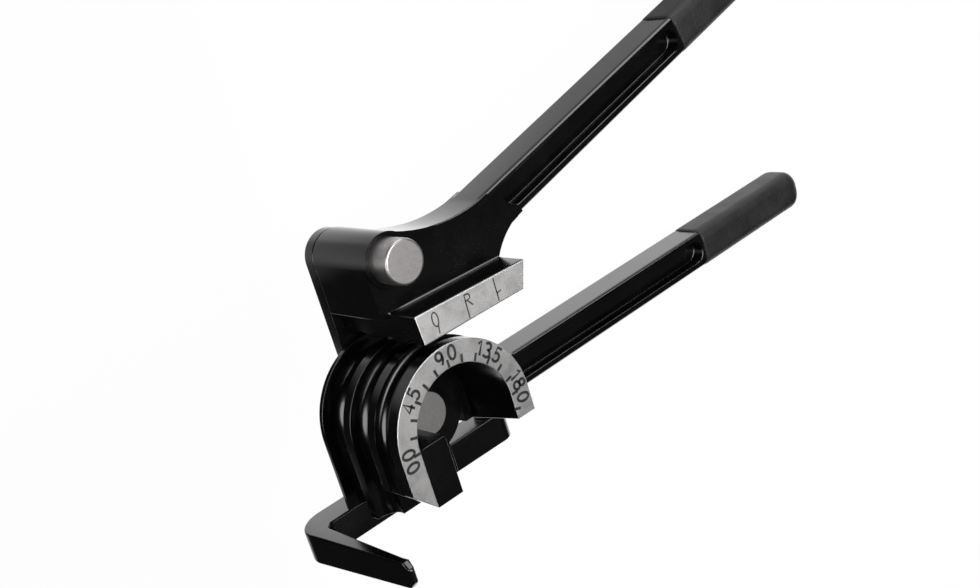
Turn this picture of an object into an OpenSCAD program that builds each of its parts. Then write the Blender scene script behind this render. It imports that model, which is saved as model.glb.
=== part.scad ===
// Lever tube bender for three tube sizes, lying on its back with the levers at a quarter bend.
// The origin is on the main pivot axis, at the lowest face of the tool. X runs along the lower
// handle, Y points at the middle of the bend scale and Z points up out of the scale's face.

/* [Tubes] */
// Outside diameter of the small tube
tube_small = 6; // [5:0.5:6.5]
// Outside diameter of the middle tube
tube_middle = 8; // [7:0.5:9]
// Outside diameter of the large tube
tube_large = 10; // [9:0.5:10.5]
// Distance from the main axis to the outer side of every bent tube
bend_outer = 25.4; // [24.8:0.1:26]

/* [Former] */
// Radius of the flanges between the grooves
flange_r = 22.5; // [21.5:0.1:23.2]
// Width of the bare band that carries the scale
scale_w = 6.3; // [5:0.1:7]
// Land in front of the small groove
front_land = 4; // [3:0.25:6]
// Land between two grooves
groove_land = 3.25; // [2.5:0.25:5]
// Land behind the large groove
back_land = 1.5; // [1:0.25:4]
// Depth of the recess inside the scale
recess_depth = 19; // [15:0.5:22]
// Radius that the recess loses from its mouth to its floor
recess_draft = 1.4; // [0.5:0.1:2.5]
// Length of the straight tail beside the zero mark
tail_len = 21; // [19:0.5:22.5]
// Length of the tail at its front end
tail_front_len = 17; // [15:0.5:18.5]
// Depth of the shorter front part of the tail
tail_front_depth = 16; // [12:0.5:17]
// Size of the slanted corner at the tail's front end
tail_corner = 7; // [4:0.5:9]
// Width of the painted block inside the tail
block_w = 9.2; // [6:0.2:9.6]
// Drop of the painted block below the scale
block_drop = 1; // [0.5:0.25:3]
// Length of the straight leg beside the last mark
leg_len = 7.4; // [5:0.2:9]
// Slant of the end of that leg
leg_slant = 5.3; // [0:0.1:8]
// Distance from the main axis to the lower edge of the recess floor
floor_drop = 5; // [4:0.5:7]

/* [Lower handle] */
// Width of the lower handle
lower_w = 12; // [11:0.1:12.6]
// Thickness of the lower handle
lower_t = 12.4; // [11:0.1:14]
// Distance from the main axis down to the middle of the lower handle
lower_drop = 16.15; // [15.8:0.05:16.4]
// Angle of the lower handle to the X axis
lower_lean = 1.2; // [0:0.1:1.6]
// Distance from the main axis to the start of the lower grip
lower_grip_x = 140; // [115:1:170]
// Radius of the hub round the main rivet
hub_r = 10.5; // [9.5:0.1:10.8]
// Distance from the main axis to the hook's pin along the handle
hook_pin_x = 38.5; // [34:0.5:44]
// Distance from the hook's lug to the start of the lower handle's long recess
lower_recess_gap = 0.8; // [0.5:0.1:8]
// Width of the seat that carries the former's tail
seat_w = 18.5; // [17:0.5:20]

/* [Handle section] */
// Width of the rim above the long recess in a handle
rim_w = 2; // [1.6:0.1:2.6]
// Width of the rim below the long recess in a handle
rim_low_w = 2.6; // [2:0.1:3.4]
// Depth of the long recess in a handle
groove_d = 4; // [1:0.1:4.4]
// Distance between the long recess and the grip
recess_land = 0.8; // [0.6:0.1:3]
// Radius of a handle's long edges
edge_r = 1.6; // [0.8:0.1:2]
// Length of a grip
grip_len = 56; // [45:1:90]
// Wall of a grip
grip_wall = 1.6; // [1.2:0.1:2]
// Amount by which a grip stands out beside its handle
grip_proud = 0.7; // [0.3:0.1:1]
// Radius of a grip's long edges
grip_edge_r = 4.2; // [3:0.1:5]
// Radius of a grip's closed end
grip_end_r = 5.5; // [3:0.25:5.6]

/* [Link] */
// Distance between the two pivots of the link
link_len = 46; // [44.5:0.1:47]
// Width of the link
link_w = 15; // [13:0.25:16.5]
// Thickness of the link
link_t = 4; // [3:0.25:6]
// Radius of the link's eye on the main pivot
link_eye_r = 10.2; // [9.5:0.1:10.4]

/* [Forming handle] */
// Radius of the boss round the upper pin
boss_r = 7.7; // [7:0.1:8.4]
// Setback of the handle's front face behind the scale
web_setback = 12; // [9:0.5:14]
// Thickness of the forming handle
web_t = 13; // [11:0.25:15]
// Width of the forming handle
upper_w = 12; // [11:0.1:12.6]
// Angle of the forming handle to the shoe
upper_angle = 14.7; // [12:0.1:17]
// Distance from the upper pivot down to the handle's middle line, above the shoe's zero mark
upper_drop = 11.9; // [11.3:0.1:12.4]
// Distance from there to the start of the upper grip, along the handle
upper_grip_s = 127.5; // [105:0.5:165]
// Distance from there to the start of the handle's long recess, along the handle
upper_recess_s = 44; // [42:0.5:54]
// Radius of the curve from the boss into the handle's upper edge
neck_top_r = 50; // [40:1:60]
// Radius of the curve from the shoe into the handle's lower edge
neck_low_r = 21; // [18:1:30]
// Height of the shoe
shoe_h = 8.6; // [7:0.2:9.4]
// Amount by which the shoe's upper face falls towards its far end
shoe_fall = 0.9; // [0.3:0.1:1.5]
// Length of the shoe past its zero mark
shoe_len = 34.6; // [30:0.2:36]
// Length of the shoe ahead of its zero mark
shoe_lead = 4.2; // [2:0.2:6]
// Setback of the shoe's marked face behind the scale
shoe_setback = 1.5; // [0.5:0.25:3.5]
// Gap between the shoe and the former's flanges
shoe_gap = 1.7; // [0.8:0.1:2.2]
// Radius of the fillet between the handle's front face and the shoe
shoe_fillet = 1.2; // [0.8:0.1:2.5]

/* [Hook] */
// Distance from the main axis down to the hook's upper face
hook_drop = 24.2; // [23.6:0.1:26]
// Height of the hook
hook_h = 9.2; // [7:0.1:11]
// Thickness of the hook's long bar
hook_t = 9.6; // [8:0.1:10.4]
// Height of the hook's long bar above the lowest face
hook_z = 5.1; // [3:0.1:5.6]
// Gap between the hook's arm and the outer side of the tubes
hook_gap = 2.6; // [1.5:0.1:3.2]
// Thickness of the hook's arm at its tip
hook_tip_t = 2.2; // [1.8:0.1:3.4]
// Thickness of the hook's arm at its root
hook_root_t = 5.4; // [4.5:0.1:6.6]
// Setback of the arm's tip behind the scale
hook_setback = 1; // [0.5:0.5:5]
// Amount by which the arm's upper face falls towards its tip
hook_fall = 1.4; // [0.5:0.1:2.5]
// Size of the slanted corners at the arm's tip
hook_tip_corner = 2; // [0.5:0.1:3]

/* [Rivets and screws] */
// Radius of the main rivet's shank
rivet_r = 4; // [3:0.1:4.6]
// Radius of the main rivet's heads
rivet_head_r = 6.2; // [5.5:0.1:7]
// Height of the main rivet's heads
rivet_head_t = 2; // [1.5:0.1:3]
// Radius of the former's spigot that the link turns on
spigot_r = 7; // [6.2:0.1:7.6]
// Radius of the upper pin in the forming handle
pin_r = 6.2; // [5.6:0.1:6.6]
// Length of the upper pin that stands out of the boss
pin_proud = 7; // [4:0.25:9]
// Radius of the upper pin's neck in the link
pin_neck_r = 4.2; // [3.5:0.1:4.6]
// Radius of the upper pin's riveted end
pin_tail_r = 5.1; // [4.9:0.1:5.8]
// Height of the upper pin's riveted end
pin_tail_t = 1.5; // [1:0.1:2]
// Thickness of a washer
washer_t = 1; // [0.6:0.1:1.5]
// Amount by which a washer stands out round a rivet's head
washer_proud = 0.8; // [0.5:0.1:1.5]
// Radius of the hook pin's shank
hook_pin_r = 2.5; // [2:0.1:3]
// Radius of the hook pin's head
hook_head_r = 3.6; // [3.2:0.1:4]
// Height of the hook pin's head
hook_head_t = 2.2; // [1.5:0.1:3]
// Radius of the screws that hold the former
screw_r = 2; // [1.5:0.1:2.5]
// Distance between the two screws
screw_pitch = 8.5; // [7.5:0.25:9.5]
// Distance from the main axis down to the screws
screw_drop = 15.5; // [15:0.25:16.5]

/* [Clearances] */
// Radial clearance of a running fit
run_fit = 0.05; // [0.02:0.01:0.08]
// Radial clearance of a fixed fit
seat_fit = 0.02; // [0.01:0.01:0.05]
// Gap between faces that slide past each other
slide_gap = 0.3; // [0.2:0.05:0.5]

/* [Hidden] */
$fn = 72;

paint = [0.09, 0.09, 0.10];
vinyl = [0.16, 0.16, 0.17];
steel = [0.62, 0.61, 0.59];
zinc = [0.72, 0.72, 0.70];
cut_past = 1;

// Heights of the layers, from the back of the tool to the scale
handle_z = rivet_head_t + washer_t;
handle_top = handle_z + lower_t;
link_z = handle_top + slide_gap;
link_top = link_z + link_t;
former_z = link_top + slide_gap;
tubes = [tube_small, tube_middle, tube_large];
former_t = front_land + tube_small + groove_land + tube_middle + groove_land + tube_large + back_land;
scale_z = former_z + former_t;
small_z = scale_z - front_land - tube_small / 2;
middle_z = small_z - tube_small / 2 - groove_land - tube_middle / 2;
large_z = middle_z - tube_middle / 2 - groove_land - tube_large / 2;
groove_zs = [small_z, middle_z, large_z];

// Former
scale_in_r = flange_r - scale_w;
floor_z = scale_z - recess_depth;
floor_r = scale_in_r - recess_draft;
rim_in_r = bend_outer - tube_large - 3;
block_end_x = -scale_in_r + block_w;
leg_full_len = leg_len + former_t * tan(leg_slant);

// Seat for the former's tail, and its two screws
seat_top_y = -link_eye_r - 3 * slide_gap;
seat_left_x = -seat_w + 6;
screw_xs = [seat_left_x + seat_w / 2 - screw_pitch / 2, seat_left_x + seat_w / 2 + screw_pitch / 2];
screw_grip = 11;
screw_head_r = 1.75 * screw_r;
screw_head_t = 2 * screw_r;

// Forming handle
web_z = scale_z - web_setback - web_t;
web_top = web_z + web_t;
boss_top = web_top + 0.5;
shoe_y = flange_r + shoe_gap;
shoe_top_y = shoe_y + shoe_h;
shoe_z_top = scale_z - shoe_setback;
shoe_end_slant = 3;
pin_top = boss_top + pin_proud;
neck_low_s = 47;
neck_lap = 0.2;
neck_n = (upper_w - neck_lap) / 2;
upper_line_y = link_len - upper_drop;
boss_s = upper_drop * sin(upper_angle);
boss_n = upper_drop * cos(upper_angle);
neck_reach = neck_top_r + boss_r - neck_lap;
neck_top_s = boss_s + sqrt(pow(neck_reach, 2) - pow(neck_n + neck_top_r - boss_n, 2));
bar_lap = 6;
bar_step = 0.05;
lower_bar_t = lower_t + 2 * bar_step;
upper_bar_t = web_t + 2 * bar_step;
shoe_fall_angle = atan2(shoe_fall, shoe_lead + shoe_len);
fillet_lap = 0.1;

// Hook
hook_mid_z = hook_z + hook_t / 2;
hook_top_z = hook_z + hook_t;
hook_in_x = -bend_outer - hook_gap;
hook_tip_z = scale_z - hook_setback;
lug_low_y = -hook_drop + slide_gap + washer_t * 0.6;
hook_pin_top_y = -lower_drop + lower_w / 4;

// Point at distance s along the forming handle's middle line and n to its left
function on_upper(s, n) = [s * cos(upper_angle) - n * sin(upper_angle),
                           upper_line_y + s * sin(upper_angle) + n * cos(upper_angle)];

// Rectangle of the given width, centred on the first axis, with four round corners
module rounded_rect(w, t, r) {
    translate([-w / 2 + r, 0]) square([w - 2 * r, t]);
    translate([-w / 2, r]) square([w, t - 2 * r]);
    for (u = [-w / 2 + r, w / 2 - r], v = [r, t - r])
        translate([u, v]) circle(r);
}

// Straight bar along X with round long edges, standing on Z = 0
module bar(len, w, t, r) {
    rotate([90, 0, 90]) linear_extrude(len) rounded_rect(w, t, r);
}

// Long recess with round ends, sunk into the front or back face of a bar
module long_recess(from_x, to_x, w, z) {
    r = (w - rim_w - rim_low_w) / 2;
    translate([0, (rim_low_w - rim_w) / 2, z]) linear_extrude(groove_d + cut_past) {
        translate([from_x + r, -r]) square([to_x - from_x - 2 * r, 2 * r]);
        for (x = [from_x + r, to_x - r]) translate([x, 0]) circle(r);
    }
}

// The recesses in both faces of a handle of width w and thickness t, which make it an I section
module long_recesses(from_x, grip_x, w, t) {
    for (z = [-cut_past, t - groove_d]) long_recess(from_x, grip_x - recess_land, w, z);
}

// Handle from x = 0, with a slimmer core that a grip covers
module handle_bar(len, w, t) {
    bar(len, w, t, edge_r);
    core = grip_wall - grip_proud;
    translate([len - cut_past, 0, core])
        bar(grip_len - grip_end_r + cut_past, w - 2 * core, t - 2 * core, edge_r);
}

// Outline of a grip seen from one side, square at its mouth and round at its closed end
module grip_outline(w) {
    translate([0, -w / 2]) square([grip_len - grip_end_r, w]);
    translate([0, -w / 2 + grip_end_r]) square([grip_len, w - 2 * grip_end_r]);
    for (v = [-1, 1])
        translate([grip_len - grip_end_r, v * (w / 2 - grip_end_r)]) circle(grip_end_r);
}

// Closed sleeve over the core of a handle of width w and thickness t, mouth at x = 0
module grip_sleeve(w, t) {
    out_w = w + 2 * grip_proud;
    out_t = t + 2 * grip_proud;
    core = grip_wall - grip_proud - seat_fit;
    difference() {
        intersection() {
            translate([0, 0, -grip_proud]) bar(grip_len, out_w, out_t, grip_edge_r);
            translate([0, 0, -grip_proud - cut_past])
                linear_extrude(out_t + 2 * cut_past) grip_outline(out_w);
            translate([0, out_w / 2 + cut_past, t / 2]) rotate([90, 0, 0])
                linear_extrude(out_w + 2 * cut_past) grip_outline(out_t);
        }
        translate([-cut_past, 0, core])
            bar(grip_len - grip_end_r + seat_fit + cut_past, w - 2 * core, t - 2 * core, edge_r);
    }
}

// Places a handle's own frame on the lower handle's line
module on_lower_line() {
    translate([0, -lower_drop, handle_z - bar_step]) rotate([0, 0, lower_lean]) children();
}

// Places a handle's own frame on the forming handle's line
module on_upper_line() {
    translate([0, upper_line_y, web_z - bar_step]) rotate([0, 0, upper_angle]) children();
}

// Point at distance s along the lower handle's middle line and n to its left
function on_lower(s, n) = [s * cos(lower_lean) - n * sin(lower_lean),
                           s * sin(lower_lean) + n * cos(lower_lean) - lower_drop];

// Point just inside the hub where the line from p runs into it, on its left (1) or right (-1) side
function hub_touch(p, side) =
    let (r = hub_r - 0.1, a = atan2(p[1], p[0]) + side * acos(r / norm(p))) r * [cos(a), sin(a)];

// Flat ring
module ring(r_out, r_in, h) {
    difference() {
        cylinder(r = r_out, h = h);
        translate([0, 0, -cut_past]) cylinder(r = r_in, h = h + 2 * cut_past);
    }
}

// Cylinder along -Y from y_top to y_low, over the hook's pin axis
module on_hook_axis(r, y_top, y_low) {
    translate([hook_pin_x, y_top, hook_mid_z]) rotate([90, 0, 0]) cylinder(r = r, h = y_top - y_low);
}

// Section of the former's rim: radius across, height up, with the three tube grooves
module rim_section() {
    difference() {
        polygon([[rim_in_r, former_z], [flange_r, former_z], [flange_r, scale_z],
                 [scale_in_r, scale_z], [floor_r, floor_z], [rim_in_r, floor_z]]);
        for (i = [0:2]) translate([bend_outer - tubes[i] / 2, groove_zs[i]]) {
            circle(d = tubes[i]);
            translate([0, -tubes[i] / 2]) square([flange_r, tubes[i]]);
        }
    }
}

// Straight run of the rim from the end of the bend, towards -Y
module straight_rim(len) {
    rotate([90, 0, 0]) linear_extrude(len) rim_section();
}

// Space below the slanted front end of the tail
module tail_front_cut() {
    left_x = -flange_r - cut_past;
    right_x = block_end_x + cut_past;
    low_y = -tail_len - cut_past;
    translate([0, 0, scale_z - tail_front_depth]) linear_extrude(tail_front_depth + cut_past)
        polygon([[left_x, -tail_front_len + tail_corner + cut_past],
                 [-flange_r + tail_corner, -tail_front_len],
                 [right_x, -tail_front_len], [right_x, low_y], [left_x, low_y]]);
}

// Space below the slanted end of the short leg
module leg_cut() {
    over = cut_past * tan(leg_slant);
    low_y = -leg_full_len - 2 * cut_past;
    translate([floor_r - tube_large, 0, 0]) rotate([90, 0, 90]) linear_extrude(flange_r)
        polygon([[-leg_len + over, scale_z + cut_past], [-leg_full_len - over, former_z - cut_past],
                 [low_y - cut_past, former_z - cut_past], [low_y - cut_past, scale_z + cut_past]]);
}

// Die-cast former: a rim with three grooves round a recess, a tail, a short leg and a spigot
module former() {
    color(paint) difference() {
        union() {
            rotate_extrude(angle = 180) rim_section();
            difference() {
                straight_rim(leg_full_len + cut_past);
                leg_cut();
            }
            difference() {
                union() {
                    mirror([1, 0, 0]) straight_rim(tail_len);
                    translate([-scale_in_r - 0.5, -tail_len, former_z])
                        cube([block_w + 0.5, tail_len, former_t - block_drop]);
                }
                tail_front_cut();
                mirror([1, 0, 0]) tail_grooves();
            }
            translate([0, 0, former_z]) linear_extrude(floor_z - former_z) {
                circle(rim_in_r + 0.5);
                translate([-rim_in_r, -floor_drop]) square([2 * rim_in_r + 0.5, floor_drop]);
                translate([-rim_in_r, -tail_len])
                    square([rim_in_r + seat_left_x + seat_w - 1, tail_len]);
            }
            translate([0, 0, handle_top]) cylinder(r = spigot_r, h = former_z - handle_top + cut_past);
        }
        translate([0, 0, handle_top - cut_past])
            cylinder(r = rivet_r + seat_fit, h = floor_z - handle_top + 2 * cut_past);
        for (x = screw_xs) translate([x, -screw_drop, former_z - cut_past])
            cylinder(r = screw_r + seat_fit, h = screw_grip + 2 * cut_past);
    }
}

// The three grooves of the tail, cut again where the block meets the rim
module tail_grooves() {
    rotate([90, 0, 0]) linear_extrude(tail_len + cut_past)
        for (i = [0:2]) translate([bend_outer - tubes[i] / 2, groove_zs[i]]) circle(d = tubes[i]);
}

// Die-cast lower handle: hub, raised seat for the former's tail, arm, I-section bar and hook lug
module lower_handle() {
    arm_x = hook_pin_x + lower_w / 2;
    lug_end_x = hook_pin_x + hook_t / 2;
    bar_x = arm_x + lower_w / 2;
    root_n = lower_w / 2 - bar_step;
    upper_corner = on_lower(arm_x, root_n);
    lower_corner = on_lower(arm_x, -root_n);
    color(paint) difference() {
        union() {
            translate([0, 0, handle_z]) linear_extrude(lower_t) {
                circle(hub_r);
                polygon([hub_touch(lower_corner, -1), lower_corner, on_lower(bar_x, -root_n),
                         on_lower(bar_x, root_n), upper_corner, hub_touch(upper_corner, 1), [0, 0]]);
                translate([1 - hub_r, seat_top_y - 1]) square([hub_r, hub_r]);
            }
            translate([seat_left_x, -tail_len, handle_z])
                cube([seat_w, tail_len + seat_top_y, former_z - handle_z]);
            on_lower_line() translate([bar_x - cut_past, 0, 0])
                handle_bar(lower_grip_x - bar_x + cut_past, lower_w, lower_bar_t);
            on_hook_axis(hook_t / 2, -lower_drop, lug_low_y);
        }
        translate([0, 0, handle_z - cut_past])
            cylinder(r = rivet_r + seat_fit, h = lower_t + 2 * cut_past);
        for (x = screw_xs) translate([x, -screw_drop, handle_z - cut_past]) {
            cylinder(r = screw_r + run_fit, h = former_z - handle_z + 2 * cut_past);
            cylinder(r = screw_head_r + run_fit, h = screw_head_t + cut_past);
        }
        on_hook_axis(hook_pin_r + seat_fit, hook_pin_top_y, lug_low_y - cut_past);
        on_lower_line() long_recesses(lug_end_x + lower_recess_gap, lower_grip_x, lower_w, lower_bar_t);
    }
}

// Dipped vinyl grip of the lower handle
module lower_grip() {
    color(vinyl) on_lower_line() translate([lower_grip_x, 0, 0]) grip_sleeve(lower_w, lower_bar_t);
}

// Main rivet: flat head on the recess floor, shank through former and handle, head at the back
module main_rivet() {
    color(steel) {
        cylinder(r = rivet_head_r, h = rivet_head_t);
        cylinder(r = rivet_r, h = floor_z + rivet_head_t);
        translate([0, 0, floor_z]) cylinder(r = rivet_head_r, h = rivet_head_t);
    }
}

// Washer between the main rivet's back head and the lower handle
module main_washer() {
    color(zinc) translate([0, 0, rivet_head_t])
        ring(rivet_head_r + washer_proud, rivet_r + seat_fit, washer_t);
}

// Two socket-head screws that hold the former's tail on its seat
module former_screws() {
    color(steel) for (x = screw_xs) translate([x, -screw_drop, handle_z]) difference() {
        union() {
            translate([0, 0, 0.2]) cylinder(r = screw_head_r, h = screw_head_t - 0.2);
            cylinder(r = screw_r, h = former_z - handle_z + screw_grip);
        }
        translate([0, 0, -cut_past]) cylinder(r = 0.85 * screw_r, h = screw_head_t / 2 + cut_past, $fn = 6);
    }
}

// Flat steel link between the former's spigot and the upper pin
module link_plate() {
    color(paint) translate([0, 0, link_z]) difference() {
        linear_extrude(link_t) {
            circle(link_eye_r);
            translate([-link_w / 2, 0]) square([link_w, link_len]);
            translate([0, link_len]) circle(link_w / 2);
        }
        translate([0, 0, -cut_past]) {
            cylinder(r = spigot_r + run_fit, h = link_t + 2 * cut_past);
            translate([0, link_len, 0]) cylinder(r = pin_neck_r + run_fit, h = link_t + 2 * cut_past);
        }
    }
}

// Outline of the forming handle's flat neck, with its two hollow curves
module neck_outline() {
    low_corner = on_upper(neck_low_s, -neck_n - shoe_h);
    top_centre = on_upper(neck_top_s, neck_n + neck_top_r);
    boss_centre = [0, link_len];
    boss_touch = boss_centre + (boss_r - neck_lap / 2) / neck_reach * (top_centre - boss_centre);
    difference() {
        polygon([[-boss_r, shoe_top_y - cut_past], [-boss_r, link_len], boss_centre,
                 boss_touch, on_upper(neck_top_s, upper_w), on_upper(neck_top_s, 0),
                 on_upper(neck_low_s, 0), low_corner, [low_corner[0], shoe_top_y - cut_past]]);
        translate(top_centre) circle(neck_top_r, $fn = 180);
        translate(on_upper(neck_low_s, -neck_n - neck_low_r)) circle(neck_low_r, $fn = 180);
    }
}

// Die-cast forming handle: boss, neck, I-section bar and the shoe with its three shallow grooves
module forming_handle() {
    color(paint) difference() {
        union() {
            translate([0, link_len, former_z]) cylinder(r = boss_r, h = boss_top - former_z);
            translate([-boss_r, shoe_top_y - cut_past, former_z])
                cube([2 * boss_r, link_len - shoe_top_y + cut_past, web_top - former_z]);
            translate([0, 0, web_z]) linear_extrude(web_t) neck_outline();
            translate([0, 0, former_z]) linear_extrude(shoe_z_top - former_z)
                polygon([[-shoe_lead, shoe_y], [shoe_len - shoe_end_slant, shoe_y],
                         [shoe_len, shoe_top_y - shoe_fall], [-shoe_lead - 0.5, shoe_top_y]]);
            translate([-shoe_lead, shoe_top_y - fillet_lap, web_top - fillet_lap])
                rotate([0, 0, -shoe_fall_angle]) rotate([90, 0, 90])
                linear_extrude(shoe_lead + shoe_len - 0.5) difference() {
                    translate([-cut_past, -cut_past]) square(shoe_fillet + cut_past);
                    translate([shoe_fillet, shoe_fillet]) circle(shoe_fillet);
                }
            on_upper_line() translate([neck_top_s - bar_lap, 0, 0])
                handle_bar(upper_grip_s - neck_top_s + bar_lap, upper_w, upper_bar_t);
        }
        translate([0, link_len, former_z - cut_past])
            cylinder(r = pin_r + seat_fit, h = boss_top - former_z + 2 * cut_past);
        on_upper_line() long_recesses(upper_recess_s, upper_grip_s, upper_w, upper_bar_t);
        for (i = [0:2]) translate([-shoe_lead - 2 * cut_past, bend_outer - tubes[i] / 2, groove_zs[i]])
            rotate([0, 90, 0]) cylinder(d = tubes[i], h = shoe_lead + shoe_len + 4 * cut_past);
    }
}

// Dipped vinyl grip of the forming handle
module upper_grip() {
    color(vinyl) on_upper_line() translate([upper_grip_s, 0, 0]) grip_sleeve(upper_w, upper_bar_t);
}

// Upper pin: fixed in the forming handle's boss, its neck turns in the link and is riveted behind
module upper_pin() {
    tail_z = link_z - washer_t - slide_gap;
    color(steel) translate([0, link_len, 0]) {
        translate([0, 0, former_z]) cylinder(r = pin_r, h = pin_top - former_z);
        translate([0, 0, tail_z - pin_tail_t])
            cylinder(r = pin_neck_r, h = former_z - tail_z + pin_tail_t + cut_past);
        translate([0, 0, tail_z - pin_tail_t]) cylinder(r = pin_tail_r, h = pin_tail_t);
    }
}

// Washer between the link and the riveted end of the upper pin
module upper_washer() {
    color(zinc) translate([0, link_len, link_z - slide_gap - washer_t])
        ring(pin_tail_r + washer_proud, pin_neck_r + seat_fit, washer_t);
}

// Outline of the hook's arm, with a hollow inner corner and slanted edges at the tip
module hook_arm_outline(root_x, corner_x) {
    tip_x = hook_in_x - hook_tip_t;
    edge = min(hook_tip_corner / 2, 0.3 * hook_tip_t);
    polygon([[corner_x, hook_top_z - 2 * cut_past], [root_x + 0.5, hook_top_z - 2 * cut_past],
             [root_x, hook_top_z], [tip_x, hook_tip_z - edge], [tip_x + edge, hook_tip_z],
             [hook_in_x - edge, hook_tip_z], [hook_in_x, hook_tip_z - edge],
             [hook_in_x, hook_top_z + hook_tip_corner], [hook_in_x + hook_tip_corner, hook_top_z]]);
}

// Cast hook that swings on its pin and holds the tube against the former's tail
module tube_hook() {
    low_y = -hook_drop - hook_h;
    root_x = hook_in_x - hook_root_t;
    corner_x = root_x + hook_t;
    color(paint) difference() {
        union() {
            translate([corner_x, low_y, hook_z]) cube([hook_pin_x - corner_x, hook_h, hook_t]);
            on_hook_axis(hook_t / 2, -hook_drop, low_y);
            intersection() {
                translate([corner_x, -hook_drop, hook_top_z]) rotate([90, 0, 0])
                    cylinder(r = hook_t, h = hook_h);
                translate([root_x - cut_past, low_y - cut_past, hook_z - cut_past])
                    cube([hook_t + 2 * cut_past, hook_h + 2 * cut_past, hook_t + cut_past]);
            }
            translate([0, -hook_drop, 0]) rotate([90, 0, 0])
                linear_extrude(hook_h) hook_arm_outline(root_x, corner_x);
        }
        on_hook_axis(hook_pin_r + run_fit, -hook_drop + cut_past, low_y - cut_past);
        on_hook_axis(hook_head_r + run_fit, low_y + hook_head_t + slide_gap, low_y - cut_past);
        translate([root_x - cut_past, 0, 0]) rotate([90, 0, 90]) linear_extrude(hook_root_t + 2 * cut_past)
            polygon([[-hook_drop, hook_top_z + hook_tip_corner],
                     [-hook_drop - hook_fall, hook_tip_z + cut_past],
                     [-hook_drop + cut_past, hook_tip_z + cut_past],
                     [-hook_drop + cut_past, hook_top_z + hook_tip_corner]]);
        for (y = [-hook_drop - hook_fall, low_y])
            translate([hook_in_x - hook_root_t / 2, y, hook_tip_z]) rotate([45, 0, 0])
            cube([2 * hook_root_t, hook_tip_corner * sqrt(2), hook_tip_corner * sqrt(2)], center = true);
    }
}

// Pin of the hook: pressed into the handle's lug, with its head sunk in the hook
module hook_pin() {
    low_y = -hook_drop - hook_h;
    color(steel) {
        on_hook_axis(hook_pin_r, hook_pin_top_y - slide_gap, low_y);
        on_hook_axis(hook_head_r, low_y + hook_head_t, low_y);
    }
}

// Spring washer that keeps the hook where it is put
module hook_washer() {
    color(zinc) difference() {
        on_hook_axis(hook_t / 2 - slide_gap, lug_low_y, lug_low_y - washer_t * 0.6);
        on_hook_axis(hook_pin_r + seat_fit, lug_low_y + cut_past, lug_low_y - washer_t * 0.6 - cut_past);
    }
}

former();
lower_handle();
lower_grip();
main_rivet();
main_washer();
former_screws();
link_plate();
forming_handle();
upper_grip();
upper_pin();
upper_washer();
tube_hook();
hook_pin();
hook_washer();
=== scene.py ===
from math import radians

import bmesh
import bpy
import numpy as np
from mathutils import Matrix


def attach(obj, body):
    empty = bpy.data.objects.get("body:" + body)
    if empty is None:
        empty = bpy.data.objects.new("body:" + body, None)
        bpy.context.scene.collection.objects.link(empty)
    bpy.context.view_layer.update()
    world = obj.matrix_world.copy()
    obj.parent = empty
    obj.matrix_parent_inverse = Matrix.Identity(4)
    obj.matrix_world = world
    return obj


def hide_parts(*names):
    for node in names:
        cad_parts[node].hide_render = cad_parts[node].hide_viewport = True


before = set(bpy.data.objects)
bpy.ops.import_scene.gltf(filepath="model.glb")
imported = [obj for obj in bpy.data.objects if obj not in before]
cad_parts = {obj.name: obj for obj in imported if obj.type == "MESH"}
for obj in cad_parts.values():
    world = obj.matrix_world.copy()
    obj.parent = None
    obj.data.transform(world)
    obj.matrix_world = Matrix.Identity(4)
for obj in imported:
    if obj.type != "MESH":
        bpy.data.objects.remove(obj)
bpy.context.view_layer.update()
MM = 0.001


# Lower handle: the fixed arm that carries the bending wheel on its hub. It is
# die cast in aluminium with a long recess down its front face, and sprayed
# with gloss black paint.
def connect(tree, made, sockets):
    """Give each named socket of a node its own value, or a link from another node."""
    for label, value in sockets.items():
        if isinstance(value, bpy.types.NodeSocket):
            tree.links.new(value, made.inputs[label])
        else:
            made.inputs[label].default_value = value


def node(tree, kind, sockets=None, **settings):
    """New shader node: settings go to its own values, sockets take a value or a link."""
    made = tree.nodes.new("ShaderNode" + kind)
    for label, value in settings.items():
        setattr(made, label, value)
    connect(tree, made, sockets or {})
    return made


def maths(tree, operation, *values):
    """Result of one operation on numbers or links."""
    return node(tree, "Math", dict(enumerate(values)), operation=operation).outputs[0]


def remap(tree, value, low, high, out_low, out_high, curve="LINEAR"):
    """Value from low..high carried to out_low..out_high and held at both ends."""
    return node(tree, "MapRange", {
        "Value": value, "From Min": low, "From Max": high,
        "To Min": out_low, "To Max": out_high}, interpolation_type=curve).outputs["Result"]


def blend_colours(tree, mask, first, second, way="MIX"):
    """First colour where the mask is 0, and second laid over it where it is 1."""
    return node(tree, "Mix", {0: mask, 6: first, 7: second},
                data_type="RGBA", blend_type=way).outputs[2]


def blend_values(tree, mask, first, second):
    """First number where the mask is 0, second where it is 1."""
    return node(tree, "Mix", {0: mask, 2: first, 3: second},
                data_type="FLOAT").outputs[0]


def place_on_piece(tree):
    """Place on the piece, in metres in its object's own frame."""
    return node(tree, "TexCoord").outputs["Object"]


def noise(tree, place, scale, detail, roughness):
    """Noise between 0 and 1, with about as many spots to the metre as the scale."""
    return node(tree, "TexNoise", {"Vector": place, "Scale": scale, "Detail": detail,
                                   "Roughness": roughness}).outputs[0]


def relief(tree, height, strength, distance):
    """Normal of a surface that a height between 0 and 1 lifts by a distance."""
    return node(tree, "Bump", {"Height": height, "Strength": strength,
                               "Distance": distance}).outputs[0]


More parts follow.
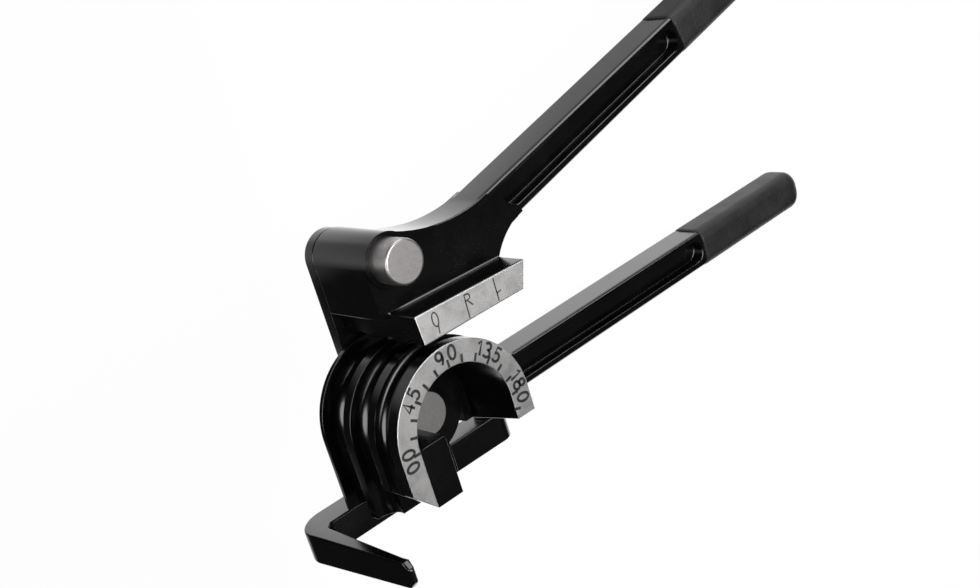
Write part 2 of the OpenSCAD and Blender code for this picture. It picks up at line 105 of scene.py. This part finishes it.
def effect_group(name, inputs):
    """Empty node group that puts out colour, roughness and height, and its two ends."""
    tree = bpy.data.node_groups.new(name, "ShaderNodeTree")
    for label, kind, value in inputs:
        socket = tree.interface.new_socket(
            label, in_out="INPUT", socket_type="NodeSocket" + kind)
        socket.default_value = value
    for label, kind in (("Color", "Color"), ("Roughness", "Float"), ("Height", "Float")):
        tree.interface.new_socket(
            label, in_out="OUTPUT", socket_type="NodeSocket" + kind)
    return (tree, tree.nodes.new("NodeGroupInput"),
            tree.nodes.new("NodeGroupOutput"))


# Sprayed paint: fine orange peel, slow changes of gloss, and sparse pale dust.
sprayed_paint, paint_in, paint_out = effect_group("sprayed_paint", [
    ("Paint", "Color", (0.006, 0.006, 0.008, 1)), ("Gloss", "Float", 0.25),
    ("Dust", "Float", 0.3)])
spot = place_on_piece(sprayed_paint)
peel = noise(sprayed_paint, spot, 1100, 2, 0.45)
cloud = noise(sprayed_paint, spot, 60, 5, 0.6)
speck = noise(sprayed_paint, spot, 2600, 1, 0.5)
dusty = maths(sprayed_paint, "MULTIPLY", remap(sprayed_paint, speck, 0.66, 0.74, 0, 1),
              paint_in.outputs["Dust"])
dusty = maths(sprayed_paint, "MULTIPLY", dusty,
              remap(sprayed_paint, cloud, 0.35, 0.7, 0, 1))
gloss = maths(sprayed_paint, "ADD", remap(sprayed_paint, cloud, 0.3, 0.7, -0.05, 0.07),
              paint_in.outputs["Gloss"])
gloss = maths(sprayed_paint, "ADD", gloss, remap(sprayed_paint, dusty, 0, 1, 0, 0.3))
connect(sprayed_paint, paint_out, {
    "Color": blend_colours(sprayed_paint, dusty, paint_in.outputs["Paint"],
                           (0.09, 0.09, 0.095, 1)),
    "Roughness": gloss, "Height": peel})

# Machined face: fine cutter lines along one way, grain and faint grey stains.
machined_face, face_in, face_out = effect_group("machined_face", [
    ("Metal", "Color", (0.68, 0.67, 0.665, 1)), ("Stain", "Float", 0.4),
    ("Gloss", "Float", 0.42)])
spot = place_on_piece(machined_face)
stretched = node(machined_face, "Mapping", {
    "Vector": spot, "Rotation": (0, 0, radians(24)), "Scale": (90, 2600, 300)})
lines = noise(machined_face, stretched.outputs[0], 1, 3, 0.6)
grain = noise(machined_face, spot, 2400, 3, 0.65)
blotch = noise(machined_face, spot, 210, 6, 0.66)
stained = maths(machined_face, "MULTIPLY", remap(machined_face, blotch, 0.42, 0.72, 0, 1),
                face_in.outputs["Stain"])
dulled = blend_colours(machined_face, stained, face_in.outputs["Metal"],
                       (0.56, 0.55, 0.56, 1), "MULTIPLY")
flecked = blend_colours(machined_face, remap(machined_face, grain, 0.4, 0.75, 0, 1),
                        dulled, (0.8, 0.8, 0.8, 1), "MULTIPLY")
connect(machined_face, face_out, {
    "Color": flecked,
    "Roughness": maths(machined_face, "ADD",
                       remap(machined_face, blotch, 0.3, 0.7, -0.07, 0.1),
                       face_in.outputs["Gloss"]),
    "Height": blend_values(machined_face, 0.35, lines, grain)})


def blank_finish(name):
    """New material, with its node tree and its surface shader."""
    made = bpy.data.materials.new(name)
    made.use_nodes = True
    return made, made.node_tree, made.node_tree.nodes["Principled BSDF"]


BLACK_PAINT = (0.0012, 0.0012, 0.0015, 1)


def painted_casting(name, bare_from=None, gloss=0.17, dust=0.2,
                    metal=(0.68, 0.67, 0.665, 1)):
    """Gloss black paint all over or, with bare_from, machined bare above that height."""
    made, tree, shader = blank_finish(name)
    skin = node(tree, "Group", {"Paint": BLACK_PAINT, "Gloss": gloss, "Dust": dust},
                node_tree=sprayed_paint).outputs
    colour, roughness, height = skin["Color"], skin["Roughness"], skin["Height"]
    if bare_from is not None:
        bare = node(tree, "Group", {"Metal": metal}, node_tree=machined_face).outputs
        level = node(tree, "SeparateXYZ", {"Vector": place_on_piece(tree)}).outputs["Z"]
        cut = maths(tree, "GREATER_THAN", level, bare_from)
        colour = blend_colours(tree, cut, colour, bare["Color"])
        roughness = blend_values(tree, cut, roughness, bare["Roughness"])
        height = blend_values(tree, cut, height, bare["Height"])
        connect(tree, shader, {"Metallic": cut})
    connect(tree, shader, {
        "Base Color": colour, "Roughness": roughness, "IOR": 1.6,
        "Normal": relief(tree, height, 0.02, 0.0002)})
    return made


SHARP_ANGLE = radians(32)


def turns(edge):
    """Whether two faces meet at an edge at more than the angle that counts as sharp."""
    return edge.is_manifold and edge.calc_face_angle() > SHARP_ANGLE


def room_across(loop):
    """Distance over a loop's face from the middle of its edge, square to that edge."""
    start, end = loop.vert.co, loop.link_loop_next.vert.co
    way = (end - start).normalized()
    inward = loop.face.normal.cross(way)
    corners = np.array([vert.co - (start + end) / 2 for vert in loop.face.verts])
    run, depth = corners @ np.array(way), corners @ np.array(inward)
    step, rise = np.roll(run, -1) - run, np.roll(depth, -1) - depth
    passed = run * (run + step) < 0
    reach = (depth - run * rise / np.where(step == 0, 1, step))[passed]
    return reach[reach > 0.001].min(initial=100)


def with_arcs(shape, corner):
    """New mesh of a shape, each edge an arc whose sides are its weight times corner."""
    rough = bpy.data.meshes.new("rough")
    shape.to_mesh(rough)
    blank = bpy.data.objects.new("blank", rough)
    bpy.context.scene.collection.objects.link(blank)
    rounding = blank.modifiers.new("rounding", "BEVEL")
    rounding.limit_method = "WEIGHT"
    rounding.width = corner
    rounding.segments = 3
    rounding.use_clamp_overlap = False
    blank.modifiers.new("welding", "WELD").merge_threshold = 0.001
    graph = bpy.context.evaluated_depsgraph_get()
    mesh = bpy.data.meshes.new_from_object(blank.evaluated_get(graph))
    bpy.data.objects.remove(blank)
    bpy.data.meshes.remove(rough)
    return mesh


def crossed_places(mesh, low, high):
    """Points where arcs ran into each other: folded faces, and corners outside a box."""
    slack = 0.002
    fold_angle = radians(140)
    least_area = 0.002
    corners = np.empty(3 * len(mesh.vertices), np.float32)
    mesh.vertices.foreach_get("co", corners)
    corners = corners.reshape(-1, 3)
    outside = ((corners < low - slack) | (corners > high + slack)).any(axis=1)
    places = corners[outside].tolist()
    made = bmesh.new()
    made.from_mesh(mesh)
    bmesh.ops.triangulate(made, faces=made.faces)
    for edge in made.edges:
        if (edge.is_manifold and edge.calc_face_angle() > fold_angle
                and min(face.calc_area() for face in edge.link_faces) > least_area):
            places += [vert.co.to_tuple() for vert in edge.verts]
    made.free()
    return np.array(places).reshape(-1, 3)


def softened(cad_node, name, corner, body, finish):
    """A CAD node's own shape with its corners rounded, as casting and paint leave them.

    The triangles are welded and those in one plane joined. Every edge that turns
    becomes an arc whose sides are corner millimetres long, or a share of the room
    on its narrower face if that is less. An edge that is left with too little of
    the corner stays sharp, and so do edges, or the ends of long ones, that aren't
    clear of a place where arcs cross. The work is done in millimetres."""
    weld_gap = 0.03
    flat_angle = radians(0.4)
    long_edge = 7.0
    end_length = 2.5
    room_share = 0.45
    least_share = 0.25
    clear = 1.2
    attempts = 3
    shading_angle = radians(38)
    shape = bmesh.new()
    shape.from_mesh(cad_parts[cad_node].data)
    bmesh.ops.scale(shape, vec=(1 / MM,) * 3, verts=shape.verts)
    bmesh.ops.remove_doubles(shape, verts=shape.verts, dist=weld_gap)
    bmesh.ops.dissolve_limit(shape, angle_limit=flat_angle,
                             verts=shape.verts, edges=shape.edges)
    corners = np.array([vert.co for vert in shape.verts])
    low, high = corners.min(0), corners.max(0)
    split_edges = [edge for edge in shape.edges
                   if turns(edge) and edge.calc_length() > long_edge]
    for edge in split_edges:
        first, last = edge.verts
        middle = bmesh.utils.edge_split(edge, first, end_length / edge.calc_length())[1]
        rest = [part for part in middle.link_edges if last in part.verts][0]
        bmesh.utils.edge_split(rest, last, end_length / rest.calc_length())
    weight = shape.edges.layers.float.new("bevel_weight_edge")
    rounded = []
    for edge in shape.edges:
        if turns(edge):
            room = min(room_across(loop) for loop in edge.link_loops)
            share = min(1.0, room_share * room / corner)
            if share > least_share:
                edge[weight] = share
                rounded.append(edge)
    start = np.array([edge.verts[0].co for edge in rounded])[:, None]
    span = np.array([edge.verts[1].co for edge in rounded])[:, None] - start
    for _ in range(attempts):
        trial = with_arcs(shape, corner)
        places = crossed_places(trial, low, high)[None]
        bpy.data.meshes.remove(trial)
        along_edge = ((places - start) * span).sum(2) / (span ** 2).sum(2)
        nearest = start + span * np.clip(along_edge, 0, 1)[:, :, None]
        gap = np.linalg.norm(nearest - places, axis=2).min(axis=1, initial=100)
        for edge in np.array(rounded)[gap < clear]:
            edge[weight] = 0
    mesh = with_arcs(shape, corner)
    shape.free()
    mesh.name = name
    mesh.transform(Matrix.Scale(MM, 4))
    if "custom_normal" in mesh.attributes:
        mesh.attributes.remove(mesh.attributes["custom_normal"])
    mesh.polygons.foreach_set("use_smooth", np.ones(len(mesh.polygons), bool))
    mesh.set_sharp_from_angle(angle=shading_angle)
    mesh.materials.clear()
    mesh.materials.append(finish)
    piece = bpy.data.objects.new(name, mesh)
    bpy.context.scene.collection.objects.link(piece)
    shading = piece.modifiers.new("flat_faces", "WEIGHTED_NORMAL")
    shading.keep_sharp = True
    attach(piece, body)
    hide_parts(cad_node)


black_casting = painted_casting("black_casting")
softened("lower_handle", "lower_handle_casting", 0.5, "base",
         black_casting)


# Lower grip: a soft vinyl sleeve dipped or pressed over the handle's free end,
# closed and rounded at the tip, with a matt, faintly leathery skin.
def vinyl_skin(name):
    """Matt dark vinyl: cell grain in the relief, with slow changes of shade."""
    made, tree, shader = blank_finish(name)
    spot = place_on_piece(tree)
    cells = node(tree, "TexVoronoi", {"Vector": spot, "Scale": 1300}).outputs["Distance"]
    fine = noise(tree, spot, 3200, 2, 0.6)
    shade = noise(tree, spot, 110, 5, 0.6)
    connect(tree, shader, {
        "Base Color": blend_colours(tree, remap(tree, shade, 0.35, 0.7, 0, 1),
                                    (0.007, 0.007, 0.0075, 1), (0.017, 0.017, 0.018, 1)),
        "Roughness": remap(tree, shade, 0.3, 0.7, 0.48, 0.62),
        "Normal": relief(tree, blend_values(tree, 0.4, cells, fine), 0.3, 0.0003)})
    return made


def grip_sleeve(name, cad_node, body, line_y, lean, start, middle, width, thickness):
    """Sleeve over a handle's end, as rounded rectangles drawn in along its axis.

    At the distance s from the mouth the rectangle is drawn in by d(s): a quarter
    of an ellipse at the tip and a quarter of a circle, the lip, at the mouth. Its
    corner radius grows to a full half circle, so that the tip closes as a dome.
    The handle's middle line crosses the Y axis at line_y, leans by some degrees and
    lies at the height middle, and the mouth is at the distance start along it."""
    length = 56.0
    tip = 6.6
    lip = 0.5
    corner = 4.0
    wall = 0.7
    tip_half = 0.2
    mouth_share = 0.86
    columns = 96
    half = np.array([width, thickness]) / 2 + wall
    deep = half.min() - tip_half
    dome = length - tip * (1 - np.sin(np.linspace(0, np.pi / 2, 19)))
    mouth = lip * (1 - np.cos(np.linspace(0, np.pi / 2, 7)))
    s = np.concatenate([mouth, np.linspace(lip, length - tip, 40)[1:-1], dome])
    drawn = (lip - np.sqrt(lip ** 2 - np.clip(lip - s, 0, lip) ** 2)
             + deep * (1 - np.sqrt(1 - (np.clip(s - length + tip, 0, tip) / tip) ** 2)))
    around = np.linspace(0, 2 * np.pi, columns, endpoint=False) + np.pi / columns
    way = np.stack([np.cos(around), np.sin(around)], 1)
    size = half[None, :] - drawn[:, None]
    narrow = size.min(1, keepdims=True)
    share = (drawn / deep)[:, None]
    radius = np.minimum(corner * (1 - share) + narrow * share, narrow)
    section = np.sign(way)[None] * (size - radius)[:, None] + way[None] * radius[:, None]
    section = np.concatenate([section[:1] * mouth_share, section])
    along = start + np.concatenate([s[:1], s])[:, None]
    cos, sin = np.cos(radians(lean)), np.sin(radians(lean))
    x = along * cos - section[..., 0] * sin
    y = line_y + along * sin + section[..., 0] * cos
    z = middle + section[..., 1]
    verts = np.stack([x, y, z], 2).reshape(-1, 3) * MM
    rows = len(along)
    row = np.arange(rows - 1)[:, None] * columns
    column = np.arange(columns)
    step = np.roll(column, -1)
    faces = np.stack([row + column, row + step, row + columns + step,
                      row + columns + column], 2).reshape(-1, 4).tolist()
    faces += [list(range((rows - 1) * columns, rows * columns)),
              list(range(columns - 1, -1, -1))]
    mesh = bpy.data.meshes.new(name)
    mesh.from_pydata(verts, [], faces)
    mesh.polygons.foreach_set("use_smooth", np.ones(len(mesh.polygons), bool))
    mesh.set_sharp_from_angle(angle=radians(50))
    mesh.materials.append(grip_vinyl)
    piece = bpy.data.objects.new(name, mesh)
    bpy.context.scene.collection.objects.link(piece)
    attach(piece, body)
    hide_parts(cad_node)


grip_vinyl = vinyl_skin("grip_vinyl")
grip_sleeve("lower_grip_sleeve", "lower_grip", "base", line_y=-16.15, lean=1.2,
            start=140, middle=9.2, width=12, thickness=12.5)

# Former: the grooved bending wheel, one groove for each size of stock, cast with
# a straight tail and painted black. Its front ring is faced bright after
# painting, and the bend angles are stamped round it and filled with black.
RING_FACE = 56 * MM
FACING_DEPTH = 0.12 * MM
former_finish = painted_casting("former_finish", bare_from=RING_FACE - FACING_DEPTH)
softened("former", "former_casting", 0.22, "base",
         former_finish)


def arc(x, y, width, height, start, end, count=15):
    """Points of an ellipse's arc about x, y, from start to end in degrees."""
    turn = np.radians(np.linspace(start, end, count))
    return np.stack([x + width * np.cos(turn), y + height * np.sin(turn)], 1)


# Single-line characters in a cell 0.62 wide and 1 high, each a list of strokes.
strokes = {
    "0": [arc(0.31, 0.5, 0.27, 0.46, 90, 450, 25)],
    "1": [np.array([(0.14, 0.76), (0.36, 0.97), (0.36, 0.03)])],
    "3": [np.concatenate([arc(0.28, 0.73, 0.25, 0.23, 150, -90),
                          arc(0.28, 0.27, 0.28, 0.24, 85, -150)])],
    "4": [np.array([(0.45, 0.03), (0.45, 0.97), (0.04, 0.33), (0.6, 0.33)])],
    "5": [np.concatenate([np.array([(0.54, 0.95), (0.15, 0.95), (0.11, 0.5)]),
                          arc(0.29, 0.32, 0.27, 0.29, 125, -145)])],
    "8": [arc(0.31, 0.735, 0.22, 0.22, -90, 270, 21),
          arc(0.31, 0.27, 0.27, 0.25, 90, 450, 21)],
    "9": [arc(0.3, 0.68, 0.25, 0.27, 0, 360, 21),
          np.array([(0.55, 0.68), (0.52, 0.36), (0.34, 0.03)])],
}
CELL_CENTRE = (0.31, 0.5)


def inked_line(path, width, face):
    """Vertices and faces of a closed bar of flat ink that follows a path on a face.

    Each point gets four corners: half the width to each side, along the mean
    normal of the two runs that meet there, just above and just below the face.
    A path that comes back to its first point makes a ring, and any other has ends."""
    sunk = 0.05 * MM
    proud = 0.004 * MM
    runs = np.diff(path, axis=0)
    runs /= np.linalg.norm(runs, axis=1, keepdims=True)
    mean = np.concatenate([runs[:1], runs[:-1] + runs[1:], runs[-1:]])
    ring_shaped = np.allclose(path[0], path[-1])
    if ring_shaped:
        mean[[0, -1]] = runs[0] + runs[-1]
    mean /= np.linalg.norm(mean, axis=1, keepdims=True)
    side = np.stack([-mean[:, 1], mean[:, 0]], 1) * width / 2
    levels = face + np.array([-sunk, -sunk, proud, proud])
    signs = np.array([-1, 1, 1, -1])
    corners = path[:, None, :] + signs[None, :, None] * side[:, None, :]
    height = np.broadcast_to(levels, (len(path), 4))
    verts = np.concatenate([corners, height[:, :, None]], 2).reshape(-1, 3)
    first = 4 * np.arange(len(path) - 1)[:, None]
    ring = np.arange(4)
    step = np.roll(ring, -1)
    walls = np.stack([first + ring, first + step, first + 4 + step,
                      first + 4 + ring], 2).reshape(-1, 4)
    if ring_shaped:
        return verts[:-4], walls % (len(verts) - 4)
    ends = np.array([[3, 2, 1, 0], 4 * (len(path) - 1) + ring])
    return verts, np.concatenate([walls, ends])


def inked_marks(name, paths, width, face, body, ink):
    """One piece made of many inked lines on a flat face."""
    verts, faces, count = [], [], 0
    for path in paths:
        line_verts, line_faces = inked_line(path, width, face)
        verts.append(line_verts)
        faces.append(line_faces + count)
        count += len(line_verts)
    mesh = bpy.data.meshes.new(name)
    mesh.from_pydata(np.concatenate(verts), [], np.concatenate(faces).tolist())
    mesh.materials.append(ink)
    piece = bpy.data.objects.new(name, mesh)
    bpy.context.scene.collection.objects.link(piece)
    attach(piece, body)


def mark_ink(name):
    """Dull black filling, thin in places so that it greys."""
    made, tree, shader = blank_finish(name)
    thin = noise(tree, place_on_piece(tree), 900, 4, 0.7)
    connect(tree, shader, {
        "Base Color": blend_colours(tree, remap(tree, thin, 0.45, 0.75, 0, 1),
                                    (0.006, 0.006, 0.006, 1), (0.05, 0.05, 0.05, 1)),
        "Roughness": remap(tree, thin, 0.3, 0.7, 0.45, 0.7),
        "Normal": relief(tree, thin, 0.1, 0.0001)})
    return made


def round_the_ring(points, bend, radius):
    """Character points turned so that their tops point outwards at a bend angle.

    Bend angles run clockwise from the -X axis, so the outward way is at 180
    degrees less the bend, and the reading way is a quarter turn clockwise."""
    out = radians(180 - bend)
    outward = np.array([np.cos(out), np.sin(out)])
    reading = np.array([outward[1], -outward[0]])
    return (outward * (radius + points[:, 1:])
            + reading * points[:, :1])


DIGIT_HEIGHT = 4.1 * MM
DIGIT_RADIUS = 19.9 * MM
DIGIT_STROKE = 0.8 * MM
DIGIT_BENDS = (
    ("0", -7.2), ("0", 3.6), ("4", 38.5), ("5", 50.0), ("9", 84.0),
    ("0", 96.0), ("1", 123.4), ("3", 131.2), ("5", 141.4), ("1", 167.4),
    ("8", 175.4), ("0", 186.8))
TICK_BENDS = range(0, 196, 15)
TICK_ENDS = np.array([(0, 16.4), (0, 18.6)]) * MM
scale_lines = [round_the_ring((line - CELL_CENTRE) * DIGIT_HEIGHT, bend,
                              DIGIT_RADIUS)
               for digit, bend in DIGIT_BENDS for line in strokes[digit]]
scale_lines += [round_the_ring(TICK_ENDS, bend, 0) for bend in TICK_BENDS]
black_ink = mark_ink("black_ink")
inked_marks("scale_marks", scale_lines, DIGIT_STROKE, RING_FACE, "base", black_ink)


# Main rivet, its washer and the former's two screws: plain steel fasteners.
# The rivet is set from behind, so its flat grey head lies in the former's
# recess, and the screws hold the former to the handle's seat from the back.
def steel_skin(name, metal, gloss, stain):
    """Bare steel: turned or headed surface with fine lines, grain and stains."""
    made, tree, shader = blank_finish(name)
    bare = node(tree, "Group", {"Metal": metal, "Gloss": gloss, "Stain": stain},
                node_tree=machined_face).outputs
    connect(tree, shader, {
        "Base Color": bare["Color"], "Metallic": 1, "Roughness": bare["Roughness"],
        "Normal": relief(tree, bare["Height"], 0.06, 0.0003)})
    return made


dull_steel = steel_skin("dull_steel", (0.3, 0.29, 0.285, 1), 0.5, 0.35)
for fastener in ("main_rivet", "main_washer", "former_screws"):
    softened(fastener, fastener + "_steel", 0.2, "base",
             dull_steel)

# Link: the flat strap that joins the two pivots behind the wheel. It is
# stamped from steel plate, tumbled, and painted black.
painted_steel = painted_casting("painted_steel", gloss=0.2, dust=0.15)
softened("link_plate", "link_strap", 0.4, "link",
         painted_steel)

# Forming handle: the lever whose grooved shoe presses the stock round the
# wheel. It is cast like the lower handle and painted black, and the front face
# of its shoe is milled bright and marked.
SHOE_FACE = 54.5 * MM
lever_finish = painted_casting("lever_finish", bare_from=SHOE_FACE - FACING_DEPTH,
                               metal=(0.86, 0.85, 0.84, 1))
softened("forming_handle", "forming_handle_casting", 0.5, "forming_lever",
         lever_finish)

# The shoe's three marks in millimetres: a ring with a tail, an R, and a stroke
# with a short branch.
MARK_STROKE = 0.38 * MM
shoe_lines = [
    arc(1.3, 29.4, 0.95, 1.95, 90, 450, 29),
    np.array([(1.75, 27.7), (1.4, 25.3)]),
    np.array([(12.1, 31.4), (11.85, 24.8)]),
    np.concatenate([[(12.1, 31.3)], arc(12.95, 30.45, 0.85, 0.8, 85, -85),
                    [(12.05, 29.6)]]),
    np.array([(12.7, 29.5), (14.1, 27.7)]),
    np.array([(22.65, 31.5), (22.55, 24.9)]),
    np.array([(22.6, 27.2), (24.2, 27.4)]),
]
inked_marks("shoe_marks", [line * MM for line in shoe_lines], MARK_STROKE,
            SHOE_FACE, "forming_lever", black_ink)

# Upper grip: a second vinyl sleeve, as long as the lower one and with the same
# skin, pressed over the free end of the forming handle.
grip_sleeve("upper_grip_sleeve", "upper_grip", "forming_lever", line_y=34.1, lean=14.7,
            start=127.5, middle=37.5, width=12, thickness=13.1)

# Upper pin and its washer: a turned steel pivot, riveted over behind the link,
# whose wide bright head shows in front of the forming handle's boss.
bright_steel = steel_skin("bright_steel", (0.58, 0.56, 0.55, 1), 0.4, 0.9)
softened("upper_pin", "upper_pin_steel", 0.8, "forming_lever",
         bright_steel)
softened("upper_washer", "upper_washer_steel", 0.15, "forming_lever",
         dull_steel)

# Hook: a forged and painted steel latch that swings out on its own plain steel
# pin, over a washer, and holds the stock's free end against the wheel's tail.
softened("tube_hook", "tube_hook_forging", 0.6, "hook",
         painted_steel)
for fastener in ("hook_pin", "hook_washer"):
    softened(fastener, fastener + "_steel", 0.15, "base",
             dull_steel)


# Floor, lamps and camera: a white table under soft studio light, seen from
# above the wheel's face and the handles' upper edges. The table carries painted
# light in what the black paint mirrors of it: a painted reflection that glows
# brighter than white at the front and fades towards the back, and a painted
# shadow that is dark at the left front and lighter again far behind. The painted
# shadow also blackens the table's diffuse colour there.
HALF_FLOOR = 3.0
floor_mesh = bpy.data.meshes.new("floor")
floor_mesh.from_pydata(
    np.array([(-1, -1, 0), (1, -1, 0), (1, 1, 0), (-1, 1, 0)]) * HALF_FLOOR,
    [], [(0, 1, 2, 3)])
floor = bpy.data.objects.new("floor", floor_mesh)
bpy.context.scene.collection.objects.link(floor)
table = bpy.data.materials.new("white_table_with_painted_light")
table.use_nodes = True
tree = table.node_tree
tree.nodes.remove(tree.nodes["Principled BSDF"])
ray = node(tree, "LightPath").outputs
spot = node(tree, "SeparateXYZ", {"Vector": place_on_piece(tree)}).outputs
# Painted reflection: reflections see the table glow 1.6 times white at the front, fading
# to 0.65 times white behind.
painted_reflection_strength = remap(tree, spot["Y"], 0.05, 0.085, 1.6, 0.65)
white = node(tree, "Emission", {
    "Color": (1, 1, 1, 1),
    "Strength": blend_values(tree, ray["Is Glossy Ray"], 1.0, painted_reflection_strength)})
# Painted shadow on the table: the mask falls to 0.012 at the left front and is held at 0.3
# or more far behind. Where it is low, the diffuse colour is black and reflections see that
# painted shadow.
behind = node(tree, "Clamp", {"Value": spot["Y"], "Min": -0.02, "Max": 0.02})
across = maths(tree, "MULTIPLY_ADD", behind.outputs[0], -0.6, spot["X"])
outside_painted_shadow = remap(tree, across, -0.028, -0.01, 0.012, 1, "SMOOTHSTEP")
painted_back_light = remap(tree, spot["Y"], 0.03, 0.055, 0, 0.3, "SMOOTHSTEP")
painted_light_mask = maths(tree, "MAXIMUM", outside_painted_shadow, painted_back_light)
painted_shadow_diffuse = node(tree, "BsdfDiffuse", {
    "Color": blend_colours(tree, painted_light_mask, (0, 0, 0, 1), (0.8, 0.8, 0.8, 1))})
# Reflections see the white glow only outside the painted shadow.
painted_reflection_share = maths(tree, "MULTIPLY", ray["Is Glossy Ray"], painted_light_mask)
seen = maths(tree, "MAXIMUM", ray["Is Camera Ray"], painted_reflection_share)
seen = maths(tree, "MAXIMUM", seen, ray["Is Transmission Ray"])
shown = node(tree, "MixShader", {0: maths(tree, "MULTIPLY", seen, 0.985),
                                 1: painted_shadow_diffuse.outputs[0], 2: white.outputs[0]})
tree.links.new(shown.outputs[0], tree.nodes["Material Output"].inputs["Surface"])
floor_mesh.materials.append(table)

world = bpy.data.worlds.new("studio")
bpy.context.scene.world = world
world.use_nodes = True
connect(world.node_tree, world.node_tree.nodes["Background"],
        {"Color": (1, 1, 1, 1), "Strength": 0.012})

# Each lamp's name, place and width in metres, and power in watts.
LAMPS = (
    ("key", (0.05, 0.2, 1.3), 1.0, 16),
    ("back", (0.55, 0.98, 0.42), 0.7, 5),
    ("side", (-0.98, 0.16, 0.65), 0.7, 6),
    ("front", (0.58, -0.46, 1.07), 1.2, 0.15),
)
LAMPS_AIM = np.array((0.05, 0.02, 0.03))
for name, place, width, power in LAMPS:
    lamp = bpy.data.lights.new(name, "AREA")
    lamp.shape = "DISK"
    lamp.size = width
    lamp.energy = power
    holder = bpy.data.objects.new(name, lamp)
    holder.location = place
    away = LAMPS_AIM - place
    holder.rotation_euler = (
        np.arctan2(np.hypot(away[0], away[1]), -away[2]), 0,
        np.arctan2(away[1], away[0]) - np.pi / 2)
    bpy.context.scene.collection.objects.link(holder)

lens = bpy.data.cameras.new("view")
lens.sensor_width = 36
lens.lens = 54.404
lens.shift_x = -0.0539
lens.shift_y = -0.0287
lens.clip_start = 0.01
camera = bpy.data.objects.new("view", lens)
camera.location = (-0.19744, 0.15381, 0.35648)
camera.rotation_euler = np.radians((-4.8267, -41.4731, -20.7761))
bpy.context.scene.collection.objects.link(camera)
bpy.context.scene.camera = camera
bpy.context.scene.view_settings.view_transform = "Standard"
